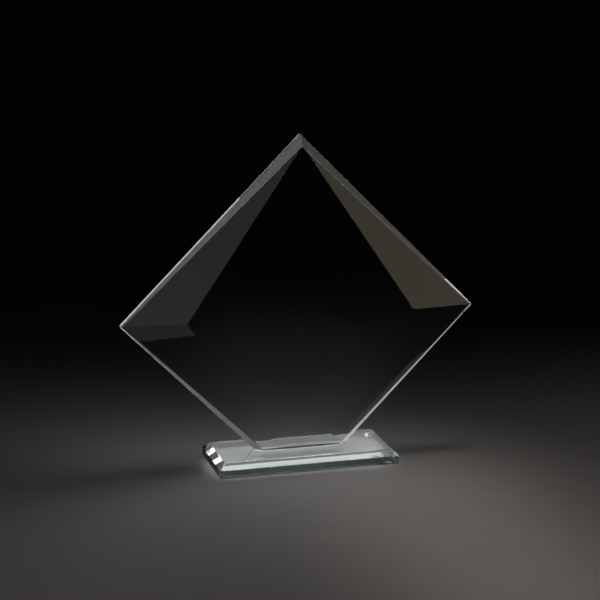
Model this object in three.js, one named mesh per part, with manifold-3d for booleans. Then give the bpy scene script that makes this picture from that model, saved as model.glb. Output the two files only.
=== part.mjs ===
// Crystal award: a faceted glass diamond bonded upright on a bevelled glass base that stands on
// four clear bumper feet. Millimetres, +Z up. The front faces -Y, +X runs along the width, and the
// origin is on the surface under the centre of the base.
import * as THREE from "three";
import { mergeVertices } from "three/addons/utils/BufferGeometryUtils.js";
import Module from "manifold-3d";

const manifold = await Module();
manifold.setup();

// Diamond plate: a square standing on one corner, with that corner cut flat to stand on the base.
const HALF_DIAGONAL = 124.7; // from the centre to the top corner and to each side corner
const CUT_BELOW_CENTRE = 93.6; // from the centre down to the flat that stands on the base
const CUT_HALF_WIDTH = 32.7; // half the width of that flat
const PLATE_THICKNESS = 9.5;
const PLATE_CENTRE_Y = -1.5; // the plate stands a little in front of the base's middle
const TABLE_HALF_WIDTH = 80; // flat front table, from the centre to its left and right corners
const TABLE_HALF_HEIGHT = 117.8; // and to the top corner, where its two upper edges meet
const CORNER_DEPTH = 4.5; // how far the four large facets fall back at the side corners
const EDGE_BEVEL = 5.4; // 45 degree bevel along the four slanted edges of the front

// Base: a rectangular slab with a 45 degree bevel round its top.
const BASE_LENGTH = 127;
const BASE_DEPTH = 56;
const BASE_THICKNESS = 10;
const BASE_BEVEL = 4.2;

// Bumper feet: standard self-adhesive clear domes under the corners of the base.
const FOOT_RADIUS = 4;
const FOOT_HEIGHT = 2.3;
const FOOT_DOME_HEIGHT = 1.5; // the rounded part, below a short straight side
const FOOT_CONTACT_RADIUS = 1.3; // the small flat that the dome stands on
const FOOT_ADHESIVE_RADIUS = 3.7;
const FOOT_ADHESIVE_THICKNESS = 0.2;
const FOOT_X = 57;
const FOOT_Y = 20;
const FOOT_ARC_STEPS = 8;
const ROUND_SEGMENTS = 40;

// Adhesive between the plate and the base.
const BOND_THICKNESS = 0.2;

// Heights that follow from the stack.
const BASE_BOTTOM = FOOT_HEIGHT + FOOT_ADHESIVE_THICKNESS;
const BASE_TOP = BASE_BOTTOM + BASE_THICKNESS;
const PLATE_CENTRE_Z = BASE_TOP + BOND_THICKNESS + CUT_BELOW_CENTRE;

const FRONT = -PLATE_THICKNESS / 2; // the plate's front and back faces, from its centre plane
const BACK = PLATE_THICKNESS / 2;
const CUTTER_SIZE = 600; // cutting blocks are larger than anything they cut
const CUTTER_DEPTH = 60;

const glass = () =>
  new THREE.MeshStandardMaterial({
    color: 0xc4e2d8,
    roughness: 0.03,
    metalness: 0,
    transparent: true,
    opacity: 0.4,
  });
const bumperPlastic = () =>
  new THREE.MeshStandardMaterial({
    color: 0xe6ece9,
    roughness: 0.22,
    metalness: 0,
    transparent: true,
    opacity: 0.7,
  });
const clearAdhesive = () =>
  new THREE.MeshStandardMaterial({
    color: 0xf0f2ea,
    roughness: 0.15,
    metalness: 0,
    transparent: true,
    opacity: 0.5,
  });

// Turns a closed three.js geometry into a solid that can be cut.
function toSolid(geometry) {
  const plain = geometry.clone();
  plain.deleteAttribute("normal");
  plain.deleteAttribute("uv");
  const merged = mergeVertices(plain);
  return new manifold.Manifold(
    new manifold.Mesh({
      numProp: 3,
      vertProperties: new Float32Array(merged.attributes.position.array),
      triVerts: new Uint32Array(merged.index.array),
    }),
  );
}

function toGeometry(solid) {
  const cut = solid.getMesh();
  const geometry = new THREE.BufferGeometry();
  geometry.setAttribute("position", new THREE.BufferAttribute(new Float32Array(cut.vertProperties), 3));
  geometry.setIndex(new THREE.BufferAttribute(new Uint32Array(cut.triVerts), 1));
  const flat = geometry.toNonIndexed();
  flat.computeVertexNormals();
  return flat;
}

// A plane through three points, facing away from the origin, which is inside every solid cut here.
function planeFacingOut(pointA, pointB, pointC) {
  const plane = new THREE.Plane().setFromCoplanarPoints(pointA, pointB, pointC);
  return plane.constant > 0 ? plane.negate() : plane;
}

// Grinds away everything on the outer side of each plane.
function grind(geometry, planes) {
  let solid = toSolid(geometry);
  for (const plane of planes) {
    const block = new THREE.BoxGeometry(CUTTER_SIZE, CUTTER_SIZE, CUTTER_DEPTH);
    block.translate(0, 0, CUTTER_DEPTH / 2);
    block.applyQuaternion(
      new THREE.Quaternion().setFromUnitVectors(new THREE.Vector3(0, 0, 1), plane.normal),
    );
    const foot = plane.coplanarPoint(new THREE.Vector3());
    block.translate(foot.x, foot.y, foot.z);
    solid = solid.subtract(toSolid(block));
  }
  return toGeometry(solid);
}

// Half the diamond's width at a height below its centre.
function halfWidthBelow(height) {
  return HALF_DIAGONAL + ((HALF_DIAGONAL - CUT_HALF_WIDTH) / CUT_BELOW_CENTRE) * height;
}

// An outline in X and Z, made as thick as the plate about its centre plane.
function plateBlank(outline) {
  const shape = new THREE.Shape(outline.map(([x, z]) => new THREE.Vector2(x, z)));
  const blank = new THREE.ExtrudeGeometry(shape, { depth: PLATE_THICKNESS, bevelEnabled: false });
  blank.translate(0, 0, -PLATE_THICKNESS / 2);
  return blank.rotateX(Math.PI / 2);
}

// The four large facets fall away from the table's edges to a ridge that ends at the side corner.
function facetPlanes() {
  const planes = [];
  for (const side of [-1, 1]) {
    for (const upDown of [-1, 1]) {
      planes.push(
        planeFacingOut(
          new THREE.Vector3(0, FRONT, upDown * TABLE_HALF_HEIGHT),
          new THREE.Vector3(side * TABLE_HALF_WIDTH, FRONT, 0),
          new THREE.Vector3(side * HALF_DIAGONAL, FRONT + CORNER_DEPTH, 0),
        ),
      );
    }
  }
  return planes;
}

// The 45 degree bevels of the front: as deep at the rim as they are wide.
function rimBevelPlanes() {
  const planes = [];
  for (const side of [-1, 1]) {
    const sideCorner = new THREE.Vector3(side * HALF_DIAGONAL, FRONT + EDGE_BEVEL, 0);
    const edgeEnds = [
      new THREE.Vector3(0, FRONT + EDGE_BEVEL, HALF_DIAGONAL),
      new THREE.Vector3(side * CUT_HALF_WIDTH, FRONT + EDGE_BEVEL, -CUT_BELOW_CENTRE),
    ];
    for (const edgeEnd of edgeEnds) {
      const along = edgeEnd.clone().sub(sideCorner).normalize();
      const inward = new THREE.Vector3(-along.z, 0, along.x);
      if (inward.dot(sideCorner) > 0) inward.negate();
      const onFront = sideCorner.clone().addScaledVector(inward, EDGE_BEVEL);
      onFront.y = FRONT;
      planes.push(planeFacingOut(sideCorner, edgeEnd, onFront));
    }
  }
  return planes;
}

function diamondPlate() {
  const blank = plateBlank([
    [0, HALF_DIAGONAL],
    [-HALF_DIAGONAL, 0],
    [-CUT_HALF_WIDTH, -CUT_BELOW_CENTRE],
    [CUT_HALF_WIDTH, -CUT_BELOW_CENTRE],
    [HALF_DIAGONAL, 0],
  ]);
  return grind(blank, [...facetPlanes(), ...rimBevelPlanes()]);
}

// The film has the plate's own footprint, carried on down to the base.
function bondFilm() {
  const bottom = -CUT_BELOW_CENTRE - BOND_THICKNESS;
  const blank = plateBlank([
    [-CUT_HALF_WIDTH, -CUT_BELOW_CENTRE],
    [-halfWidthBelow(bottom), bottom],
    [halfWidthBelow(bottom), bottom],
    [CUT_HALF_WIDTH, -CUT_BELOW_CENTRE],
  ]);
  return grind(blank, [...facetPlanes(), ...rimBevelPlanes()]);
}

// The slab about its own centre, with the bevel ground round the top.
function basePlate() {
  const slab = new THREE.BoxGeometry(BASE_LENGTH, BASE_DEPTH, BASE_THICKNESS);
  const top = BASE_THICKNESS / 2;
  const planes = [];
  for (const side of [-1, 1]) {
    const endX = (side * BASE_LENGTH) / 2;
    const sideY = (side * BASE_DEPTH) / 2;
    planes.push(
      planeFacingOut(
        new THREE.Vector3(endX, -1, top - BASE_BEVEL),
        new THREE.Vector3(endX, 1, top - BASE_BEVEL),
        new THREE.Vector3(endX - side * BASE_BEVEL, 0, top),
      ),
      planeFacingOut(
        new THREE.Vector3(-1, sideY, top - BASE_BEVEL),
        new THREE.Vector3(1, sideY, top - BASE_BEVEL),
        new THREE.Vector3(0, sideY - side * BASE_BEVEL, top),
      ),
    );
  }
  return grind(slab, planes);
}

// A dome that stands on its small flat, with its axis along Z and its lowest point at 0.
function bumperFoot() {
  const profile = [new THREE.Vector2(0, 0)];
  for (let step = 0; step <= FOOT_ARC_STEPS; step += 1) {
    const angle = (step / FOOT_ARC_STEPS) * (Math.PI / 2);
    const radius = FOOT_CONTACT_RADIUS + (FOOT_RADIUS - FOOT_CONTACT_RADIUS) * Math.sin(angle);
    profile.push(new THREE.Vector2(radius, FOOT_DOME_HEIGHT * (1 - Math.cos(angle))));
  }
  profile.push(new THREE.Vector2(FOOT_RADIUS, FOOT_HEIGHT), new THREE.Vector2(0, FOOT_HEIGHT));
  return new THREE.LatheGeometry(profile, ROUND_SEGMENTS).rotateX(Math.PI / 2);
}

function footAdhesive() {
  return new THREE.CylinderGeometry(
    FOOT_ADHESIVE_RADIUS,
    FOOT_ADHESIVE_RADIUS,
    FOOT_ADHESIVE_THICKNESS,
    ROUND_SEGMENTS,
  ).rotateX(Math.PI / 2);
}

const award = new THREE.Group();

function add(name, geometry, material, x, y, z) {
  const mesh = new THREE.Mesh(geometry, material);
  mesh.name = name;
  mesh.position.set(x, y, z);
  award.add(mesh);
}

add("diamond_plate", diamondPlate(), glass(), 0, PLATE_CENTRE_Y, PLATE_CENTRE_Z);
add("bond_film", bondFilm(), clearAdhesive(), 0, PLATE_CENTRE_Y, PLATE_CENTRE_Z);
add("base_plate", basePlate(), glass(), 0, 0, (BASE_BOTTOM + BASE_TOP) / 2);

for (const [row, y] of [["front", -FOOT_Y], ["back", FOOT_Y]]) {
  for (const [end, x] of [["left", -FOOT_X], ["right", FOOT_X]]) {
    add(`foot_${row}_${end}`, bumperFoot(), bumperPlastic(), x, y, 0);
    const adhesiveZ = FOOT_HEIGHT + FOOT_ADHESIVE_THICKNESS / 2;
    add(`foot_adhesive_${row}_${end}`, footAdhesive(), clearAdhesive(), x, y, adhesiveZ);
  }
}

export default award;
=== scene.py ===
"""Looks for the crystal award: glass plate and base cut from the CAD faces, with satin arrises,
clear bumper feet and adhesive, on a pale floor in soft studio light. Metres, as the frame."""

import math

import bmesh
import bpy
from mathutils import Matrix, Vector


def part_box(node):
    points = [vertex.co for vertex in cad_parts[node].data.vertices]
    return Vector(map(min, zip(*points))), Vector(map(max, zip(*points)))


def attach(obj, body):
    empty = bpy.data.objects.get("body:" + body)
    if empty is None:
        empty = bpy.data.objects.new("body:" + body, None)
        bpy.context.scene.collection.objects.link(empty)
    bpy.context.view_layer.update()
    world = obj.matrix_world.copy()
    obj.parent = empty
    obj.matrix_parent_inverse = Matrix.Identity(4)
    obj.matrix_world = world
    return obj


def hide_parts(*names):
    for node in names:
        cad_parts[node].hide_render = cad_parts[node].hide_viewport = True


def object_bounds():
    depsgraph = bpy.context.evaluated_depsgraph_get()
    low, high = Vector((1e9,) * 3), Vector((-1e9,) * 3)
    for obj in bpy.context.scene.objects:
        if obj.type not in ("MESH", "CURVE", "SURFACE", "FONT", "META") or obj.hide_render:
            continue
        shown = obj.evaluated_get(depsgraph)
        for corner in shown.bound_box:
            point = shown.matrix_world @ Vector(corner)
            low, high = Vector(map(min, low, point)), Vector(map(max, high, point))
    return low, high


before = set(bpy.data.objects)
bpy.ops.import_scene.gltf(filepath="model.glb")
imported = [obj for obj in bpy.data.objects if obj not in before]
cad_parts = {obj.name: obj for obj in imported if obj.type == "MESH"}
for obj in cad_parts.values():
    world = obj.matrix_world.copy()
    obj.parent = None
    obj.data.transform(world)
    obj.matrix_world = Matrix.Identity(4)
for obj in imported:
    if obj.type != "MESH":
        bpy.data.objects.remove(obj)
cad_low, cad_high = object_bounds()

MM = 0.001

# Camera, from the photograph's viewpoint: in front, to the left and above.
CAMERA_AZIMUTH = math.radians(-15.49)
CAMERA_ELEVATION = math.radians(13.65)
CAMERA_DISTANCE = 1.2895
CAMERA_LENS = 113.3  # mm, on a 36 mm sensor
CAMERA_AIM_ABOVE_CENTRE = 1.22 * MM

# Studio.
FLOOR_RADIUS = 0.9
FLOOR_TONES = ((0.56, 0.55, 0.54, 1), (0.6, 0.59, 0.58, 1))
WORLD_COLOUR = (0.001, 0.001, 0.001, 1)
LIGHT_TARGET = Vector((0, 0, 0.1))  # the point that the panels are placed about
WHITE = (1, 1, 1)
FLOOR_LIGHT_TINT = (1, 0.93, 0.9)

# How closely planes and points of the CAD solids have to agree.
SMALLEST_FACE = 20 * MM * MM  # smaller facets of a CAD face are slivers with uncertain normals
SAME_PLANE_COSINE = 0.99999  # between the normals of two facets of one face
LEVEL_COSINE = 0.999  # between the normal of a level face and the vertical
SAME_LEVEL = 0.01 * MM
SAME_CORNER = 0.05 * MM
ON_CUT = 0.00001 * MM  # points of a block this near to a cut are on it
TOUCHING = 0.0001 * MM  # points this near to each other are one

# Arrises: the narrow flats that a glass worker leaves along every edge.
ARRIS_ON_RIDGE = 0.15 * MM  # width where two faces are almost in line
ARRIS_ON_CORNER = 0.55 * MM  # extra width where they meet at a right angle
LEAST_TURN = math.radians(2)  # a smaller turn between two facets is no edge

# Adhesive and bumpers reach this far into what they are stuck to, so that light passes straight
# through the joint instead of meeting a layer of air.
WETTING = 0.02 * MM
MENISCUS = 0.35 * MM  # fillet of adhesive pressed out round the plate's foot
MENISCUS_STEPS = 6
CORNER_STEPS = 4

# Adhesive discs over the feet: the rim bulges, and runs in and out in two waves round the turn.
DISC_BULGE = 0.9  # depth of the rounded rim, in heights of the disc
DISC_RIM_STEPS = 8
DISC_MEAN_RADIUS = 0.975  # this and the waves are in radii of the CAD disc
DISC_SLOW_WAVE = 0.012
DISC_QUICK_WAVE = 0.008
DISC_PHASE_STEP = 1.7  # radians from the waves of one disc to those of the next

# Bumper feet.
BUMPER_CONTACT_RADIUS = 1.3 * MM
BUMPER_DOME_HEIGHT = 1.5 * MM
BUMPER_RIM_RADIUS = 0.25 * MM
BUMPER_DOME_STEPS = 20
BUMPER_RIM_STEPS = 5
ROUND_SEGMENTS = 96
SHARP_EDGE = math.radians(30)  # edges that turn more than this stay sharp when shaded

# Optical constants. The glass takes its green from its depth.
GLASS_IOR = 1.52
GLASS_TINT = (0.08, 0.75, 0.7, 1)
GLASS_TINT_DENSITY = 4.4
BUMPER_IOR = 1.49
ADHESIVE_IOR = 1.5
BONDED_IOR = 1.0


# ---------------------------------------------------------------- node helpers


def new_material(name):
    """A new material, its Principled shader and its output node."""
    material = bpy.data.materials.new(name)
    material.use_nodes = True
    nodes = material.node_tree.nodes
    nodes.clear()
    output = nodes.new("ShaderNodeOutputMaterial")
    shader = nodes.new("ShaderNodeBsdfPrincipled")
    material.node_tree.links.new(shader.outputs["BSDF"], output.inputs["Surface"])
    return material, shader, output


def add_node(material, kind, inputs=None, **settings):
    """A node with its settings and inputs set; an input given as a socket is linked."""
    node = material.node_tree.nodes.new(kind)
    for name, value in settings.items():
        setattr(node, name, value)
    for name, value in (inputs or {}).items():
        if isinstance(value, bpy.types.NodeSocket):
            material.node_tree.links.new(value, node.inputs[name])
        else:
            node.inputs[name].default_value = value
    return node


def object_noise(material, scale, detail):
    """Noise fixed to the object, in cycles per metre."""
    coords = add_node(material, "ShaderNodeTexCoord").outputs["Object"]
    return add_node(
        material, "ShaderNodeTexNoise", {"Vector": coords, "Scale": scale, "Detail": detail}
    ).outputs["Fac"]


def uneven_roughness(material, scale, detail, noise, roughness):
    """A roughness that follows a noise: one range of it is carried to a range of roughness."""
    return add_node(
        material,
        "ShaderNodeMapRange",
        {
            "Value": object_noise(material, scale, detail),
            "From Min": noise[0],
            "From Max": noise[1],
            "To Min": roughness[0],
            "To Max": roughness[1],
        },
    ).outputs["Result"]


def relief(material, shader, scale, detail, strength, depth):
    """Fine relief in a surface, from noise."""
    bump = add_node(
        material,
        "ShaderNodeBump",
        {"Height": object_noise(material, scale, detail), "Strength": strength, "Distance": depth},
    )
    material.node_tree.links.new(bump.outputs["Normal"], shader.inputs["Normal"])


def clear_material(name, tint):
    """A transparent material with a surface tint, its Principled shader and its output node."""
    material, shader, output = new_material(name)
    shader.inputs["Base Color"].default_value = tint
    shader.inputs["Transmission Weight"].default_value = 1
    return material, shader, output


# ---------------------------------------------------------------- materials


def optical_contact(material, shader, ior):
    """Where a face is bonded to another, light passes as if the two were one block."""
    bonded = add_node(material, "ShaderNodeAttribute", attribute_name="bonded").outputs["Fac"]
    shade = add_node(
        material, "ShaderNodeMix", {"Factor": bonded, "A": ior, "B": BONDED_IOR}, data_type="FLOAT"
    )
    material.node_tree.links.new(shade.outputs["Result"], shader.inputs["IOR"])


def float_glass(name):
    """Clear float glass: green by its depth, polished, with satin arrises."""
    material, shader, output = clear_material(name, (1, 1, 1, 1))
    links = material.node_tree.links
    optical_contact(material, shader, GLASS_IOR)
    depth_tint = add_node(
        material,
        "ShaderNodeVolumeAbsorption",
        {"Color": GLASS_TINT, "Density": GLASS_TINT_DENSITY},
    )
    links.new(depth_tint.outputs["Volume"], output.inputs["Volume"])

    arris = add_node(material, "ShaderNodeAttribute", attribute_name="arris").outputs["Fac"]
    smudge = uneven_roughness(
        material, scale=45, detail=4, noise=(0.55, 0.8), roughness=(0.0, 0.006)
    )
    satin = uneven_roughness(material, scale=900, detail=2, noise=(0.3, 0.7), roughness=(0.16, 0.3))
    roughness = add_node(
        material, "ShaderNodeMix", {"Factor": arris, "A": smudge, "B": satin}, data_type="FLOAT"
    )
    links.new(roughness.outputs["Result"], shader.inputs["Roughness"])
    relief(material, shader, scale=26, detail=1, strength=0.05, depth=0.02 * MM)
    return material


def clear_bumper():
    """Clear soft polyurethane, with a fine moulded grain."""
    material, shader, _ = clear_material("clear_bumper", (0.97, 0.985, 0.975, 1))
    shader.inputs["IOR"].default_value = BUMPER_IOR
    roughness = uneven_roughness(
        material, scale=700, detail=3, noise=(0.35, 0.7), roughness=(0.02, 0.07)
    )
    material.node_tree.links.new(roughness, shader.inputs["Roughness"])
    relief(material, shader, scale=1500, detail=2, strength=0.2, depth=0.03 * MM)
    return material


def clear_adhesive():
    """Cured adhesive: clear, with a faint blotchy haze where it has not wetted evenly."""
    material, shader, _ = clear_material("clear_adhesive", (0.98, 0.985, 0.96, 1))
    optical_contact(material, shader, ADHESIVE_IOR)
    roughness = uneven_roughness(
        material, scale=320, detail=3, noise=(0.45, 0.75), roughness=(0.03, 0.3)
    )
    material.node_tree.links.new(roughness, shader.inputs["Roughness"])
    return material


def pale_floor_material():
    """A pale matt surface with a faint unevenness of tone."""
    material, shader, _ = new_material("pale_floor")
    links = material.node_tree.links
    darker, paler = FLOOR_TONES
    tone = add_node(
        material,
        "ShaderNodeMix",
        {"Factor": object_noise(material, scale=60, detail=4), "A": darker, "B": paler},
        data_type="RGBA",
    )
    links.new(tone.outputs["Result"], shader.inputs["Base Color"])
    shader.inputs["Roughness"].default_value = 0.6
    shader.inputs["Specular IOR Level"].default_value = 0.0
    return material


# ---------------------------------------------------------------- cut glass


def face_planes(node):
    """The outer planes of a convex CAD node as (normal, distance), each one once."""
    planes = []
    for polygon in node.data.polygons:
        distance = polygon.normal.dot(polygon.center)
        known = any(
            polygon.normal.dot(normal) > SAME_PLANE_COSINE and abs(distance - other) < SAME_LEVEL
            for normal, other in planes
        )
        if not known and polygon.area > SMALLEST_FACE:
            planes.append((polygon.normal.copy(), distance))
    return planes


def cut_solid(planes, centre, reach):
    """The convex solid inside every plane, cut from a block about a centre."""
    solid = bmesh.new()
    bmesh.ops.create_cube(solid, size=2 * reach)
    bmesh.ops.translate(solid, verts=solid.verts, vec=centre)
    for normal, distance in planes:
        everything = solid.verts[:] + solid.edges[:] + solid.faces[:]
        cut = bmesh.ops.bisect_plane(
            solid,
            geom=everything,
            dist=ON_CUT,
            plane_co=normal * distance,
            plane_no=normal,
            clear_outer=True,
        )
        rim = [item for item in cut["geom_cut"] if isinstance(item, bmesh.types.BMEdge)]
        if len(rim) > 2:
            bmesh.ops.contextual_create(solid, geom=rim)
    return solid


def arris_planes(solid):
    """One plane along every edge, set back so that its flat has the arris width."""
    planes = []
    for edge in solid.edges:
        if len(edge.link_faces) != 2:
            continue
        first, second = (face.normal for face in edge.link_faces)
        turn = first.angle(second)
        if turn < LEAST_TURN:
            continue
        width = ARRIS_ON_RIDGE + ARRIS_ON_CORNER * math.sin(min(turn, math.pi / 2)) ** 2
        setback = width * math.tan(turn / 2) / 2
        normal = (first + second).normalized()
        planes.append((normal, normal.dot(edge.verts[0].co) - setback))
    return planes


def outer_sides(outline):
    """The vertical planes along the sides of an outline that runs anticlockwise, facing out."""
    sides = []
    for start, end in zip(outline, outline[1:] + outline[:1]):
        sides.append(((end - start).cross(Vector((0, 0, 1))).normalized(), start))
    return sides


def score_outline(solid, outline):
    """Cuts the upper face along the sides of an outline, without changing its shape."""
    for normal, point in outer_sides(outline):
        faces = [face for face in solid.faces if face.normal.z > LEVEL_COSINE]
        edges = {edge for face in faces for edge in face.edges}
        verts = {vert for face in faces for vert in face.verts}
        around = faces + list(edges) + list(verts)
        bmesh.ops.bisect_plane(solid, geom=around, dist=TOUCHING, plane_co=point, plane_no=normal)
        solid.normal_update()


def mark_faces(mesh, name, chosen):
    """A mask for the material to read: 1 on the chosen faces, 0 on the rest."""
    mask = mesh.attributes.new(name, "FLOAT", "FACE")
    for polygon in mesh.polygons:
        mask.data[polygon.index].value = 1.0 if chosen(polygon) else 0.0


def cut_glass_piece(name, node_name, slot, bonded_side):
    """Replaces a CAD node by the same solid with its arrises worked. Masks mark its arrises and
    the face that is bonded to the other glass: bonded_side is 1 if it looks up, -1 if down."""
    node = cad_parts[node_name]
    low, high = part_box(node_name)
    centre, reach = (low + high) / 2, (high - low).length
    planes = face_planes(node)
    blank = cut_solid(planes, centre, reach)
    blank.normal_update()
    arrises = arris_planes(blank)
    blank.free()
    solid = cut_solid(planes + arrises, centre, reach)
    solid.normal_update()
    bonded_outline = footprint("diamond_plate")
    if bonded_side > 0:
        score_outline(solid, bonded_outline)

    mesh = bpy.data.meshes.new(name)
    solid.to_mesh(mesh)
    solid.free()

    def on_arris(polygon):
        return any(polygon.normal.dot(normal) > SAME_PLANE_COSINE for normal, _ in arrises)

    def is_bonded(polygon):
        sides = outer_sides(bonded_outline)
        inside = all(normal.dot(polygon.center - point) < 0 for normal, point in sides)
        return inside and polygon.normal.z * bonded_side > LEVEL_COSINE

    mark_faces(mesh, "arris", on_arris)
    mark_faces(mesh, "bonded", is_bonded)
    return add_piece(name, mesh, float_glass(slot), node_name)


# ---------------------------------------------------------------- feet and adhesive


def add_piece(name, mesh, material, node_name):
    """A mesh object that rides on the award and stands for a CAD node."""
    mesh.materials.append(material)
    piece = bpy.data.objects.new(name, mesh)
    bpy.context.scene.collection.objects.link(piece)
    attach(piece, "root")
    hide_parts(node_name)
    return piece


def smooth(mesh):
    """Shades the round parts of a mesh smooth and keeps its edges sharp."""
    mesh.shade_smooth()
    mesh.set_sharp_from_angle(angle=SHARP_EDGE)


def underside_centre(low, high):
    """The middle of the underside of a box."""
    return Vector(((low.x + high.x) / 2, (low.y + high.y) / 2, low.z))


def lathe(name, profile, centre, wobble=lambda angle: 1.0):
    """A closed solid turned about a vertical axis. The profile's ends are on the axis; wobble
    makes its radius uneven round the turn."""
    solid = bmesh.new()
    rings = []
    for radius, height in profile[1:-1]:
        ring = []
        for step in range(ROUND_SEGMENTS):
            angle = 2 * math.pi * step / ROUND_SEGMENTS
            reach = radius * wobble(angle)
            place = (reach * math.cos(angle), reach * math.sin(angle), height)
            ring.append(solid.verts.new(Vector(place) + centre))
        rings.append(ring)
    ends = [solid.verts.new(centre + Vector((0, 0, profile[i][1]))) for i in (0, -1)]
    for step in range(ROUND_SEGMENTS):
        after = (step + 1) % ROUND_SEGMENTS
        for lower, upper in zip(rings, rings[1:]):
            solid.faces.new((lower[step], lower[after], upper[after], upper[step]))
        solid.faces.new((ends[0], rings[0][after], rings[0][step]))
        solid.faces.new((ends[1], rings[-1][step], rings[-1][after]))
    bmesh.ops.recalc_face_normals(solid, faces=solid.faces)
    mesh = bpy.data.meshes.new(name)
    solid.to_mesh(mesh)
    solid.free()
    smooth(mesh)
    return mesh


def arc(centre, radii, start, end, steps):
    """Points (radius, height) along an elliptical arc between two angles in degrees."""
    points = []
    for step in range(steps + 1):
        angle = math.radians(start + (end - start) * step / steps)
        points.append(
            (centre[0] + radii[0] * math.cos(angle), centre[1] + radii[1] * math.sin(angle))
        )
    return points


def bumper(node_name, material):
    """A moulded dome foot: a small flat, the dome, a short side and a rounded upper rim."""
    low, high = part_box(node_name)
    radius, height = (high.x - low.x) / 2, high.z - low.z
    dome = arc(
        (BUMPER_CONTACT_RADIUS, BUMPER_DOME_HEIGHT),
        (radius - BUMPER_CONTACT_RADIUS, BUMPER_DOME_HEIGHT),
        -90,
        0,
        BUMPER_DOME_STEPS,
    )
    rim_centre = (radius - BUMPER_RIM_RADIUS, height - BUMPER_RIM_RADIUS)
    rim = arc(rim_centre, (BUMPER_RIM_RADIUS,) * 2, 0, 90, BUMPER_RIM_STEPS)
    profile = [(0, 0)] + dome + rim + [(0, height)]
    name = f"bumper_{node_name}"
    mesh = lathe(name, profile, underside_centre(low, high))
    return add_piece(name, mesh, material, node_name)


def foot_adhesive(node_name, material, phase):
    """A thin disc of adhesive with a rounded, slightly uneven rim. The phase turns its waves."""
    low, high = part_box(node_name)
    radius, height = (high.x - low.x) / 2, high.z - low.z
    rim_radii = (height * DISC_BULGE, height / 2 + WETTING)
    rim = arc((radius - height, height / 2), rim_radii, -90, 90, DISC_RIM_STEPS)
    profile = [(0, -WETTING)] + rim + [(0, height + WETTING)]

    def wobble(angle):
        slow = DISC_SLOW_WAVE * math.sin(3 * angle + phase)
        quick = DISC_QUICK_WAVE * math.sin(7 * angle - 2 * phase)
        return DISC_MEAN_RADIUS + slow + quick

    name = f"bond_{node_name}"
    mesh = lathe(name, profile, underside_centre(low, high), wobble)
    return add_piece(name, mesh, material, node_name)


def footprint(node_name):
    """The corners of a CAD node's underside, in order round it."""
    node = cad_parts[node_name]
    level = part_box(node_name)[0].z
    corners = []
    for vertex in node.data.vertices:
        on_underside = abs(vertex.co.z - level) < SAME_LEVEL
        if on_underside and all((vertex.co - corner).length > SAME_CORNER for corner in corners):
            corners.append(vertex.co.copy())
    middle = sum(corners, Vector()) / len(corners)
    return sorted(corners, key=lambda c: math.atan2(c.y - middle.y, c.x - middle.x))


def offset_outline(corners, distance):
    """A convex outline moved outward by a distance, with its corners rounded."""
    points = []
    count = len(corners)
    for index, corner in enumerate(corners):
        before, after = corners[index - 1], corners[(index + 1) % count]
        incoming, outgoing = (corner - before).normalized(), (after - corner).normalized()
        start = Vector((incoming.y, -incoming.x, 0))
        end = Vector((outgoing.y, -outgoing.x, 0))
        for step in range(CORNER_STEPS + 1):
            points.append(corner + start.lerp(end, step / CORNER_STEPS).normalized() * distance)
    return points


def bond(material):
    """The adhesive under the plate, with a hollow fillet pressed out all round its foot."""
    low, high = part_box("bond_film")
    corners = footprint("diamond_plate")
    sections = [(-MENISCUS / 2, low.z - WETTING)]
    for step in range(MENISCUS_STEPS + 1):
        angle = math.pi / 2 * step / MENISCUS_STEPS
        out = MENISCUS * (1 - math.sin(angle)) - WETTING
        up = MENISCUS * (1 - math.cos(angle))
        sections.append((out, low.z + WETTING / 2 + up))
    sections.append((-WETTING * 2, high.z + WETTING))
    solid = bmesh.new()
    rings = []
    for out, height in sections:
        ring = [solid.verts.new((p.x, p.y, height)) for p in offset_outline(corners, out)]
        rings.append(ring)
    for lower, upper in zip(rings, rings[1:]):
        for index in range(len(lower)):
            after = (index + 1) % len(lower)
            solid.faces.new((lower[index], lower[after], upper[after], upper[index]))
    solid.faces.new(reversed(rings[0]))
    solid.faces.new(rings[-1])
    bmesh.ops.remove_doubles(solid, verts=solid.verts, dist=TOUCHING)
    bmesh.ops.recalc_face_normals(solid, faces=solid.faces)
    mesh = bpy.data.meshes.new("plate_bond")
    solid.to_mesh(mesh)
    solid.free()
    smooth(mesh)
    mark_faces(mesh, "bonded", lambda polygon: abs(polygon.normal.z) > LEVEL_COSINE)
    return add_piece("plate_bond", mesh, material, "bond_film")


# ---------------------------------------------------------------- studio


def make_camera():
    """The camera, aimed near the middle of the award."""
    centre = (cad_low + cad_high) / 2
    aim = Vector((centre.x, centre.y, centre.z + CAMERA_AIM_ABOVE_CENTRE))
    back = Vector(
        (
            math.sin(CAMERA_AZIMUTH) * math.cos(CAMERA_ELEVATION),
            -math.cos(CAMERA_AZIMUTH) * math.cos(CAMERA_ELEVATION),
            math.sin(CAMERA_ELEVATION),
        )
    )
    data = bpy.data.cameras.new("camera")
    data.lens = CAMERA_LENS
    data.sensor_width = 36
    data.clip_end = 50
    camera = bpy.data.objects.new("camera", data)
    camera.location = aim + back * CAMERA_DISTANCE
    camera.rotation_euler = (-back).to_track_quat("-Z", "Y").to_euler()
    bpy.context.scene.collection.objects.link(camera)
    bpy.context.scene.camera = camera


def make_floor():
    """A round floor at the level that the award stands on."""
    bpy.ops.mesh.primitive_circle_add(vertices=ROUND_SEGMENTS, radius=FLOOR_RADIUS, fill_type="NGON")
    floor = bpy.context.object
    floor.name = "floor"
    floor.location.z = cad_low.z
    floor.data.materials.append(pale_floor_material())


def direction(azimuth, elevation):
    """The unit vector at an azimuth from +Y towards +X and an elevation, both in degrees."""
    azimuth, elevation = math.radians(azimuth), math.radians(elevation)
    level = math.cos(elevation)
    return Vector((math.sin(azimuth) * level, math.cos(azimuth) * level, math.sin(elevation)))


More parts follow.
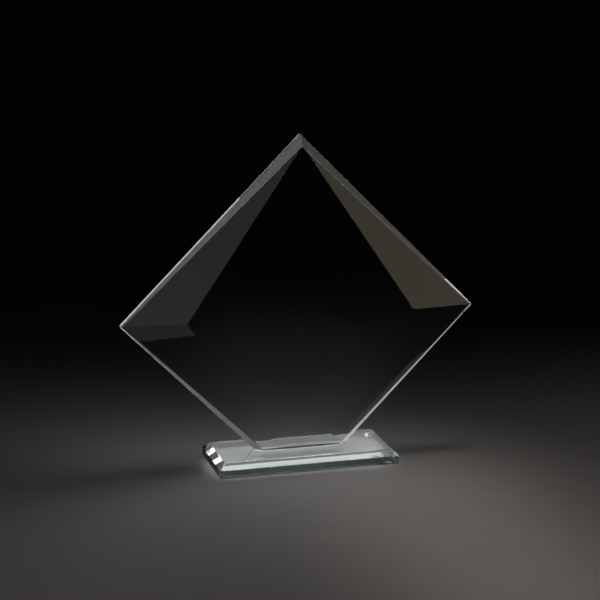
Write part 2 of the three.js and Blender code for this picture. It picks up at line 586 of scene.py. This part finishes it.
def soft_panel(name, place, size, radiance, tint=WHITE, target=LIGHT_TARGET, half_spread=90):
    """A flat diffused light of a given radiance on its axis. Its place is an azimuth, an
    elevation and a distance from its target. The camera does not see it, and it does not light
    the floor: it shows only in the glass."""
    out = direction(*place[:2])
    width, height = size
    data = bpy.data.lights.new(name, "AREA")
    data.shape = "RECTANGLE"
    data.size, data.size_y = width, height
    data.color = tint
    data.energy = radiance * math.pi * width * height
    if half_spread < 90:
        half = math.radians(half_spread)
        data.spread = 2 * half
        data.energy *= (math.tan(half) - half) / math.tan(half)
    panel = bpy.data.objects.new(name, data)
    panel.location = target + out * place[2]
    panel.rotation_euler = (-out).to_track_quat("-Z", "Y").to_euler()
    panel.visible_camera = False
    panel.visible_diffuse = False
    bpy.context.scene.collection.objects.link(panel)
    return panel


def floor_light(name, over, size, radiance, half_spread):
    """A panel one metre above a point, which lights the floor in a soft-edged pool."""
    target = Vector((*over, 0))
    panel = soft_panel(name, (0, 90, 1), size, radiance, FLOOR_LIGHT_TINT, target, half_spread)
    panel.visible_diffuse = True


def make_lights():
    """Two pools of light on the floor, and panels about the award that show in its faces."""
    world = bpy.data.worlds.new("studio")
    world.use_nodes = True
    world.node_tree.nodes["Background"].inputs["Color"].default_value = WORLD_COLOUR
    bpy.context.scene.world = world

    floor_light("overhead", (0.065, -0.19), (0.1, 0.4), 34, half_spread=7)
    floor_light("overhead_wide", (0.05, -0.19), (0.8, 0.34), 2.3, half_spread=21)

    # Behind the award.
    soft_panel("back", (5, 31, 2.0), (2.2, 1.5), 0.6)
    soft_panel("back_low", (-6, 6.5, 1.85), (0.3, 0.25), 0.42)
    soft_panel("back_low_right", (33, 2.3, 1.85), (0.8, 0.35), 0.09)
    soft_panel("back_strip", (-15, 11, 1.8), (0.22, 0.32), 1.6)

    # To its right.
    soft_panel("right_back", (58, 43, 1.7), (0.8, 1.5), 4.0)
    soft_panel("right", (86, 25, 1.7), (0.5, 0.5), 0.7)
    soft_panel("right_low", (85, 19.5, 1.6), (0.2, 0.09), 6.0)
    soft_panel("right_front", (116, 32, 1.7), (0.7, 1.2), 4.0)

    # High on its left and in front.
    soft_panel("left_high", (-114, 43, 1.6), (0.5, 0.5), 2.0)
    soft_panel("front_high", (143, 66, 1.2), (0.5, 0.5), 3.0)

    # In front: a card for each upper facet, and a small sheet that lies just above the floor.
    soft_panel("front_left_card", (179, -5, 1.77), (0.5, 0.7), 0.45, (1, 0.92, 1.05))
    soft_panel(
        "front_left_sheet", (15.5, -89.9, 0.5), (0.1, 0.075), 0.3, (1, 0.9, 0.95),
        target=Vector((-0.1, -0.271, 0.502)),
    )
    soft_panel("front_right_card", (147, -4.4, 1.94), (0.65, 0.7), 0.9, (1, 0.87, 0.66))


# ---------------------------------------------------------------- the award

make_camera()
make_floor()
make_lights()

cut_glass_piece("cut_diamond_plate", "diamond_plate", "plate_glass", bonded_side=-1)
cut_glass_piece("cut_base_plate", "base_plate", "base_glass", bonded_side=1)

bumper_material = clear_bumper()
adhesive_material = clear_adhesive()
bond(adhesive_material)
for index, node_name in enumerate(sorted(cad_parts)):
    if node_name.startswith("foot_adhesive"):
        foot_adhesive(node_name, adhesive_material, phase=DISC_PHASE_STEP * index)
    elif node_name.startswith("foot_"):
        bumper(node_name, bumper_material)

bpy.context.scene.view_settings.view_transform = "Standard"
